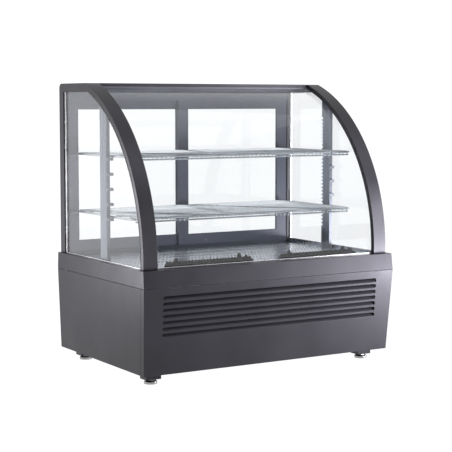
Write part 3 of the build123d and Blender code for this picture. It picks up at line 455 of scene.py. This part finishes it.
# ---------------------------------------------------------------- deck
DECK_SHEET = 2 * MM
PITCH_X, PITCH_Y = 10 * MM, 8.66 * MM  # of the staggered holes
HOLE = 3.1 * MM  # radius
HOLE_SIDES = 12
FRONT_STRIP, MARGIN = 36 * MM, 10 * MM  # plain sheet at the front, and at the sides and rear
UPTURN_NEAR, UPTURN_FAR = 320.3 * MM, 321.5 * MM  # faces of the upturned sides, from the middle
UPTURN_FRONT = -185 * MM
UPTURN_LAP = 0.5 * MM


def flat_face(bm, points, z):
    """Horizontal face through points given as (x, y)."""
    return bm.faces.new([bm.verts.new((x, y, z)) for x, y in points])


def perforated_deck():
    """Deck sheet with staggered round holes behind a plain strip at the front, and upturned sides."""
    low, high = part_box("deck")
    top = low.z + DECK_SHEET
    first_y = low.y + FRONT_STRIP
    rows = int((high.y - MARGIN - first_y) / PITCH_Y)
    columns = int((high.x - low.x - 2 * MARGIN) / PITCH_X) - 1
    corners = ((0.5, -0.5), (0.5, 0.5), (0, 0.5), (-0.5, 0.5), (-0.5, -0.5), (0, -0.5))
    bm = bmesh.new()

    def row_start(row):
        return -columns * PITCH_X / 2 + (0.25 if row % 2 else -0.25) * PITCH_X

    for row in range(rows):
        y = first_y + (row + 0.5) * PITCH_Y
        for column in range(columns):
            x = row_start(row) + (column + 0.5) * PITCH_X
            outer = [bm.verts.new((x + cx * PITCH_X, y + cy * PITCH_Y, top)) for cx, cy in corners]
            inner = [bm.verts.new((x + HOLE * math.cos(turn), y + HOLE * math.sin(turn), top))
                     for turn in (math.radians(30 * step - 45) for step in range(HOLE_SIDES))]
            for corner in range(len(corners)):
                first, second = inner[2 * corner], inner[2 * corner + 1]
                following = inner[(2 * corner + 2) % HOLE_SIDES]
                bm.faces.new((outer[corner], second, first))
                bm.faces.new((outer[corner], outer[(corner + 1) % len(corners)], following, second))
        near_y, far_y = y - PITCH_Y / 2, y + PITCH_Y / 2
        for side, edge in ((-1, low.x), (1, high.x)):
            reach = row_start(row) if side < 0 else row_start(row) + columns * PITCH_X
            outline = [(edge, near_y)]
            steps_out = (row % 2 == 1) if side < 0 else (row % 2 == 0)
            neighbour = reach + side * PITCH_X / 2
            if steps_out and row:
                outline.append((neighbour, near_y))
            outline += [(reach, near_y), (reach, far_y)]
            if steps_out and row < rows - 1:
                outline.append((neighbour, far_y))
            flat_face(bm, outline + [(edge, far_y)], top)
    for row, y, edge in ((0, first_y, low.y), (rows - 1, first_y + rows * PITCH_Y, high.y)):
        line = [(row_start(row) + step * PITCH_X / 2, y) for step in range(2 * columns + 1)]
        flat_face(bm, [(low.x, edge), (low.x, y)] + line + [(high.x, y), (high.x, edge)], top)
    bmesh.ops.remove_doubles(bm, verts=bm.verts, dist=MERGE)
    lower = bmesh.ops.extrude_face_region(bm, geom=bm.faces[:])["geom"]
    bmesh.ops.translate(bm, vec=(0, 0, -DECK_SHEET),
                        verts=[item for item in lower if isinstance(item, bmesh.types.BMVert)])
    for side in (-1, 1):
        near, far = sorted((side * UPTURN_NEAR, side * UPTURN_FAR))
        box_faces(bm, (near, UPTURN_FRONT, top - UPTURN_LAP), (far, high.y, high.z))
    return add_piece("deck_perforated", bm, "cabinet", "deck_steel", ("deck",))


# ---------------------------------------------------------------- shelves
FRAME_WIRE = 2.8 * MM  # radii of the wires
GRID_WIRE = 1.0 * MM
CROSS_WIRE = 1.5 * MM
LIP_WIRE = 2.0 * MM
LIP_DROP = 6.5 * MM
SHELF_CORNER = 14 * MM
LIP_ROOM = 1.4 * MM  # in front of the frame wire, for the bends of the fine wires
LIP_PAST = 5 * MM  # of the lower front wire past the last fine wire
WIRE_SINK = 0.6 * MM  # of the fine wires into the frame wire
CROSS_RISE = 0.3 * MM
WIRE_FOOT = 0.4 * MM  # of the turned-down ends above the shelf's lowest level
GRID_WIRES = 51
GRID_HALF = 288 * MM  # from the middle to the last fine wire
CROSS_WIRES = 4


def wire_shelf(node):
    """Chrome shelf: frame wire, cross wires, and fine wires turned down in front of a lower front wire."""
    low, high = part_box(node)
    level = high.z - FRAME_WIRE
    left, right = low.x + FRAME_WIRE, high.x - FRAME_WIRE
    front, rear = low.y + FRAME_WIRE + LIP_ROOM, high.y - FRAME_WIRE
    near_x, far_x = left + SHELF_CORNER, right - SHELF_CORNER
    near_y, far_y = front + SHELF_CORNER, rear - SHELF_CORNER
    loop = []
    for x, y, start in ((far_x, far_y, 0), (near_x, far_y, 90), (near_x, near_y, 180), (far_x, near_y, 270)):
        loop += arc_points((x, y, level), SHELF_CORNER, start, start + 90, 6)
    bm = bmesh.new()
    tube_faces(bm, loop, FRAME_WIRE, 12, closed=True)
    for index in range(CROSS_WIRES):
        y = front + (rear - front) * (index + 0.5) / CROSS_WIRES
        z = level - CROSS_WIRE + CROSS_RISE
        tube_faces(bm, [Vector((left, y, z)), Vector((right, y, z))], CROSS_WIRE)
    reach = GRID_HALF + LIP_PAST
    tube_faces(bm, [Vector((-reach, front, level - LIP_DROP)), Vector((reach, front, level - LIP_DROP))],
               LIP_WIRE, 10)
    bend = FRAME_WIRE + GRID_WIRE - WIRE_SINK
    for index in range(GRID_WIRES):
        x = -GRID_HALF + 2 * GRID_HALF * index / (GRID_WIRES - 1)
        foot = Vector((x, front - bend, low.z + WIRE_FOOT))
        ends = arc_points((x, front, level - GRID_WIRE), bend, 180, 90, 4, "yz")
        other = arc_points((x, rear - GRID_WIRE, level - GRID_WIRE), bend, 90, 0, 4, "yz")
        tube_faces(bm, [foot] + ends + other, GRID_WIRE)
    return add_piece(f"{node}_wires", bm, node, "chrome_wire", (node,))


# ---------------------------------------------------------------- air vents
COMB_SPANS = ((-268 * MM, -35 * MM), (36 * MM, 258 * MM))
COMB_BASE, TOOTH_TOP = 15.5 * MM, 21 * MM  # above the deck
COMB_SLOPE = 3 * MM  # of the base's ends
TOOTH_PITCH = 8 * MM
TOOTH_HALF, TOOTH_TIP = 3.4 * MM, 0.6  # the tip is a share of the foot's width
KNOB_TIP = 0.45
COMB_INSET = 1 * MM  # of the teeth from the base's sides, and down into it
COMB_EDGE = 1.2 * MM


def comb_vents():
    """Two moulded combs along the front of the deck, with tapered teeth and pointed knobs."""
    low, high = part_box("air_vents")
    middle_y = (low.y + high.y) / 2
    bm = bmesh.new()

    def taper(x, half, top, tip):
        verts = box_faces(bm, (x - half, low.y + COMB_INSET, low.z + COMB_BASE - COMB_INSET),
                          (x + half, high.y - COMB_INSET, low.z + top))
        for vert in verts:
            if vert.co.z > low.z + COMB_BASE:
                vert.co.x = x + (vert.co.x - x) * tip
                vert.co.y = middle_y + (vert.co.y - middle_y) * tip

    for start, end in COMB_SPANS:
        verts = box_faces(bm, (start, low.y, low.z), (end, high.y, low.z + COMB_BASE))
        for vert in verts:
            if vert.co.z > low.z + COMB_BASE / 2:
                vert.co.x += COMB_SLOPE if vert.co.x < (start + end) / 2 else -COMB_SLOPE
        for index in range(int((end - start) / TOOTH_PITCH) - 1):
            taper(start + TOOTH_PITCH * (index + 1), TOOTH_HALF, TOOTH_TOP, TOOTH_TIP)
        knobs = ((start + 30 * MM, 6 * MM, 27.5 * MM), (end - 38 * MM, 6.5 * MM, 29.3 * MM),
                 (end - 19 * MM, 5 * MM, 24.3 * MM))
        for x, half, top in knobs:
            taper(x, half, top, KNOB_TIP)
    obj = add_piece("air_vent_combs", bm, "cabinet", "black_plastic", ("air_vents",), COMB)
    soften(obj, COMB_EDGE, 3)
    return obj


# ---------------------------------------------------------------- small fittings
WINDOW_LEFT, WINDOW_RIGHT = 128 * MM, 176 * MM  # recess of the display
WINDOW_BOTTOM, WINDOW_TOP = 170 * MM, 190 * MM
WINDOW_GAP = 0.4 * MM
WINDOW_BACK, WINDOW_FACE = 0.9 * MM, 0.1 * MM  # inside the panel's face
DIGIT_PITCH = 11 * MM
DIGIT_HALF_X, DIGIT_HALF_Z = 3.2 * MM, 2.9 * MM  # half a digit's width, and a quarter of its height
SEGMENT_WIDTH = 0.9 * MM
SEGMENT_BACK, SEGMENT_FACE = 0.3 * MM, 0.02 * MM  # inside the panel's face


def display_window():
    """Dark window in the recess of the control panel, with three unlit seven-segment digits."""
    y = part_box("control_panel")[1].y
    bm = bmesh.new()
    box_faces(bm, (WINDOW_LEFT + WINDOW_GAP, y - WINDOW_BACK, WINDOW_BOTTOM + WINDOW_GAP),
              (WINDOW_RIGHT - WINDOW_GAP, y - WINDOW_FACE, WINDOW_TOP - WINDOW_GAP))
    soften(add_piece("display_window", bm, "cabinet", "black_plastic", (), SCREEN), 0.3 * MM)
    bm = bmesh.new()

    def segment(x, z, half_x, half_z):
        box_faces(bm, (x - half_x, y - SEGMENT_BACK, z - half_z), (x + half_x, y - SEGMENT_FACE, z + half_z))

    half_width = SEGMENT_WIDTH / 2
    middle_z = (WINDOW_BOTTOM + WINDOW_TOP) / 2
    for digit in (-1, 0, 1):
        x = (WINDOW_LEFT + WINDOW_RIGHT) / 2 + digit * DIGIT_PITCH
        for dz in (-2 * DIGIT_HALF_Z, 0, 2 * DIGIT_HALF_Z):
            segment(x, middle_z + dz, DIGIT_HALF_X - SEGMENT_WIDTH, half_width)
        for dx in (-DIGIT_HALF_X, DIGIT_HALF_X):
            for dz in (-DIGIT_HALF_Z, DIGIT_HALF_Z):
                segment(x + dx, middle_z + dz, half_width, DIGIT_HALF_Z - SEGMENT_WIDTH)
    add_piece("display_segments", bm, "cabinet", "black_plastic", (), SEGMENT)


LENS_RADIUS, LENS_RISE, LENS_PITCH, LENS_SIDES = 2.6 * MM, 1.2 * MM, 9 * MM, 12
LENS_PROFILE = ((1.0, -0.2), (1.0, 0.2), (0.8, 0.7), (0.4, 1.0))  # shares of the radius and rise
STRIP_FACE = 307.6 * MM  # inner faces of the light strips, from the middle


def light_lenses():
    """Round lenses along the rear edge of both light strips."""
    low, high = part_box("led_strips")
    y = high.y - 1.2 * LENS_RADIUS
    count = int((high.z - low.z) / LENS_PITCH) - 1
    bm = bmesh.new()
    for side in (-1, 1):
        for index in range(count):
            z = low.z + LENS_PITCH * (index + 1)
            rings = []
            for share, height in LENS_PROFILE:
                x = side * (STRIP_FACE - LENS_RISE * height)
                radius = LENS_RADIUS * share
                rings.append([bm.verts.new((x, y + radius * math.cos(turn), z + radius * math.sin(turn)))
                              for turn in full_turn(LENS_SIDES)])
            ring_faces(bm, rings)
    add_piece("light_lenses", bm, "cabinet", "light_strip")


SCREW_SIDES = 14
SCREW_PROFILE = ((1.0, 0.0), (0.96, 0.55), (0.72, 0.88), (0.34, 1.0))  # shares of radius and height
PIT_WIDTH, PIT_LEVEL = 0.4, 0.45  # of the pit in the middle: share of the last ring, and of the height


def screw_heads(name, body, places, radius, height, facing):
    """Domed screw heads on a flat face, given their middles; facing is -1 to the front, 1 to the rear."""
    bm = bmesh.new()
    pit = (SCREW_PROFILE[-1][0] * PIT_WIDTH, PIT_LEVEL)
    for x, y, z in places:
        rings = []
        for share, rise in (*SCREW_PROFILE, pit):
            ring = [bm.verts.new((x + radius * share * math.cos(turn), y + facing * height * rise,
                                  z + radius * share * math.sin(turn))) for turn in full_turn(SCREW_SIDES)]
            rings.append(ring)
        ring_faces(bm, rings)
    return add_piece(name, bm, body, "screw_steel")


# ---------------------------------------------------------------- put together
for node, surface_slot in SLOT_OF.items():
    finish_material(NODES[node], MATERIAL_OF_SLOT[surface_slot])

BUTTON_CLEARANCE = 0.3 * MM  # left at the floor of the pocket when a button is pressed
EDGE_WIDTHS = {  # of the broken edges, in millimetres
    "side_panel_left": 0.8, "side_panel_right": 0.8, "rim_band": 0.9, "rear_panel": 0.4, "top_panel": 0.9,
    "door_frame_left": 0.7, "door_frame_right": 0.7, "door_header": 0.5, "door_sill": 0.3,
    "glass_top_channel": 0.5, "glass_beads": 0.5, "pilasters": 0.5, "led_strips": 0.7,
    "control_panel": 0.7, "power_inlet": 0.6, "button_down": 0.3, "button_up": 0.3, "button_set": 0.3,
    "rocker_light": 0.6, "rocker_power": 0.6, "shelf_supports": 0.6, "ceiling_panel": 0.4,
    "foot_front_left": 0.5, "foot_front_right": 0.5, "foot_rear_left": 0.5, "foot_rear_right": 0.5,
    "foot_brackets": 0.4, "base_pan": 0.4, "compressor": 0.6, "terminal_box": 0.8,
}
finished = {node: rounded(node, width * MM) for node, width in EDGE_WIDTHS.items()}
finish_material(finished["glass_top_channel"], CHANNEL)
finish_material(finished["led_strips"], STRIP)
for node in ("button_down", "button_up", "button_set"):
    inner_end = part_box(node)[0].y
    for vert in finished[node].data.vertices:
        if vert.co.y < inner_end + 0.01 * MM:
            vert.co.y += BUTTON_CLEARANCE
panes = [rounded(node, 0.5 * MM, 1) for node, slot in SLOT_OF.items() if slot == "clear_glass"]
for pane in panes:
    pane.visible_shadow = False
    if pane.name.startswith("side_glass"):
        finish_material(pane, SIDE_GLASS)

side_frame("left", -1)
side_frame("right", 1)
louvred_front()
deck = perforated_deck()
shelves = [wire_shelf("shelf_upper"), wire_shelf("shelf_lower")]
combs = comb_vents()
light_lenses()
display_window()

REAR_SCREW, REAR_SCREW_HEIGHT = 3.4 * MM, 1.8 * MM  # radius and height of the heads
DOOR_SCREW, DOOR_SCREW_HEIGHT = 2.6 * MM, 0.9 * MM
rear_low, rear_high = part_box("rear_panel")
head_columns = (rear_low.x + 10 * MM, rear_low.x / 3, rear_high.x / 3, rear_high.x - 10 * MM)
heads = [(x, rear_high.y, z) for x in head_columns for z in (rear_low.z + 8 * MM, rear_high.z - 6 * MM)]
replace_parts(screw_heads("rear_panel_screws", "cabinet", heads, REAR_SCREW, REAR_SCREW_HEIGHT, 1), "screws")
door_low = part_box("door_frame_right")[0]
door_head = (64 * MM, door_low.y, door_low.z + 14 * MM)  # in the bottom rail of the door
screw_heads("door_right_screw", "door_right", [door_head], DOOR_SCREW, DOOR_SCREW_HEIGHT, -1)


# ---------------------------------------------------------------- studio
LAMP_COLOUR = (0.96, 0.95, 1.0)
WHITE = (1, 1, 1, 1)
FLOOR_HALF = 60  # metres
FRONT_STRENGTH, REAR_STRENGTH, OVERHEAD_SHARE = 0.18, 1.12, 0.5  # of the surround


def area_light(name, place, target, size, power, only=()):
    """Rectangular softbox aimed at a point; it can be kept to some pieces, so no glass mirrors it."""
    data = bpy.data.lights.new(name, "AREA")
    data.shape = "RECTANGLE"
    data.size, data.size_y = size
    data.energy = power
    data.color = LAMP_COLOUR
    lamp = bpy.data.objects.new(name, data)
    lamp.location = place
    lamp.rotation_euler = (Vector(target) - Vector(place)).to_track_quat("-Z", "Y").to_euler()
    lamp.visible_camera = False
    lamp.visible_transmission = False
    bpy.context.scene.collection.objects.link(lamp)
    if only:
        group = bpy.data.collections.new(f"{name}_receivers")
        for piece in only:
            group.objects.link(piece)
        lamp.light_linking.receiver_collection = group


def studio_floor():
    """Plain pale floor."""
    surface = Surface("studio_floor", (0.15, 0.15, 0.15), Roughness=0.7, Specular_IOR_Level=0.1,
                      Emission_Color=WHITE, Emission_Strength=0.95)
    bm = bmesh.new()
    bmesh.ops.create_grid(bm, x_segments=1, y_segments=1, size=FLOOR_HALF)
    mesh = bpy.data.meshes.new("studio_floor")
    bm.to_mesh(mesh)
    bm.free()
    floor = bpy.data.objects.new("studio_floor", mesh)
    bpy.context.scene.collection.objects.link(floor)
    finish_material(floor, surface)


def studio_world():
    """Soft surround that is brighter behind the object than in front of it, and dimmer overhead."""
    world = bpy.data.worlds.new("studio")
    bpy.context.scene.world = world
    world.use_nodes = True
    tree = world.node_tree
    direction = tree.nodes.new("ShaderNodeTexCoord").outputs["Generated"]
    parts = tree.nodes.new("ShaderNodeSeparateXYZ")
    tree.links.new(direction, parts.inputs["Vector"])
    strength = tree.nodes.new("ShaderNodeMath")
    strength.operation = "MULTIPLY"
    slopes = (("Y", -0.6, 0.3, FRONT_STRENGTH, REAR_STRENGTH), ("Z", 0.35, 0.85, 1, OVERHEAD_SHARE))
    for index, (axis, start, end, low, high) in enumerate(slopes):
        spread = tree.nodes.new("ShaderNodeMapRange")
        spread.interpolation_type = "SMOOTHSTEP"
        spread.inputs["From Min"].default_value = start
        spread.inputs["From Max"].default_value = end
        spread.inputs["To Min"].default_value = low
        spread.inputs["To Max"].default_value = high
        tree.links.new(parts.outputs[axis], spread.inputs["Value"])
        tree.links.new(spread.outputs["Result"], strength.inputs[index])
    background = tree.nodes["Background"]
    background.inputs["Color"].default_value = WHITE
    tree.links.new(strength.outputs["Value"], background.inputs["Strength"])


unlit = panes + [combs]
solid_pieces = [obj for obj in bpy.context.scene.objects if obj.type == "MESH" and obj not in unlit]
supports = [finished["pilasters"], finished["shelf_supports"]]
rear_frames = [finished["door_frame_left"], finished["door_frame_right"], finished["door_header"]]
inner_pieces = [deck, *shelves, *supports, *rear_frames]
outer_pieces = [piece for piece in solid_pieces if piece not in supports + rear_frames]
studio_floor()
studio_world()
# name, place, target, size, power and the pieces that it lights (all, where none are given)
area_light("softbox_right", (1.12, -1.0, 0.42), (0.3, -0.2, 0.2), (0.6, 0.85), 22, outer_pieces)
area_light("softbox_low", (0.78, -0.66, 0.11), (0.36, -0.2, 0.13), (0.35, 0.2), 10, solid_pieces)
area_light("softbox_high", (1.0, -1.0, 1.9), (0.2, -0.1, 0.5), (0.9, 0.9), 9, outer_pieces)
area_light("softbox_left", (-0.82, 0.46, 0.28), (-0.34, -0.2, 0.2), (0.25, 0.42), 3.4, solid_pieces)
area_light("softbox_inside", (-0.7, -1.3, 0.42), (0.1, 0.2, 0.29), (1.0, 0.3), 16, inner_pieces)
area_light("softbox_rear", (0.1, -1.3, 0.36), (0.0, 0.2, 0.29), (1.4, 0.12), 14, rear_frames)
area_light("softbox_top", (0.2, -0.1, 2.3), (0, 0, 0.3), (1.8, 1.8), 6)

LENS = 105.87  # millimetres, on Blender's default 36 mm sensor
CAMERA_PLACE = (-1.6721, -2.7470, 0.628)
LOOK_DOWN, LOOK_RIGHT = 5.37, 31.39  # degrees
camera_data = bpy.data.cameras.new("camera")
camera_data.lens = LENS
camera = bpy.data.objects.new("camera", camera_data)
camera.location = CAMERA_PLACE
camera.rotation_euler = (math.radians(90 - LOOK_DOWN), 0, math.radians(-LOOK_RIGHT))
bpy.context.scene.collection.objects.link(camera)
bpy.context.scene.camera = camera
bpy.context.scene.view_settings.view_transform = "Standard"
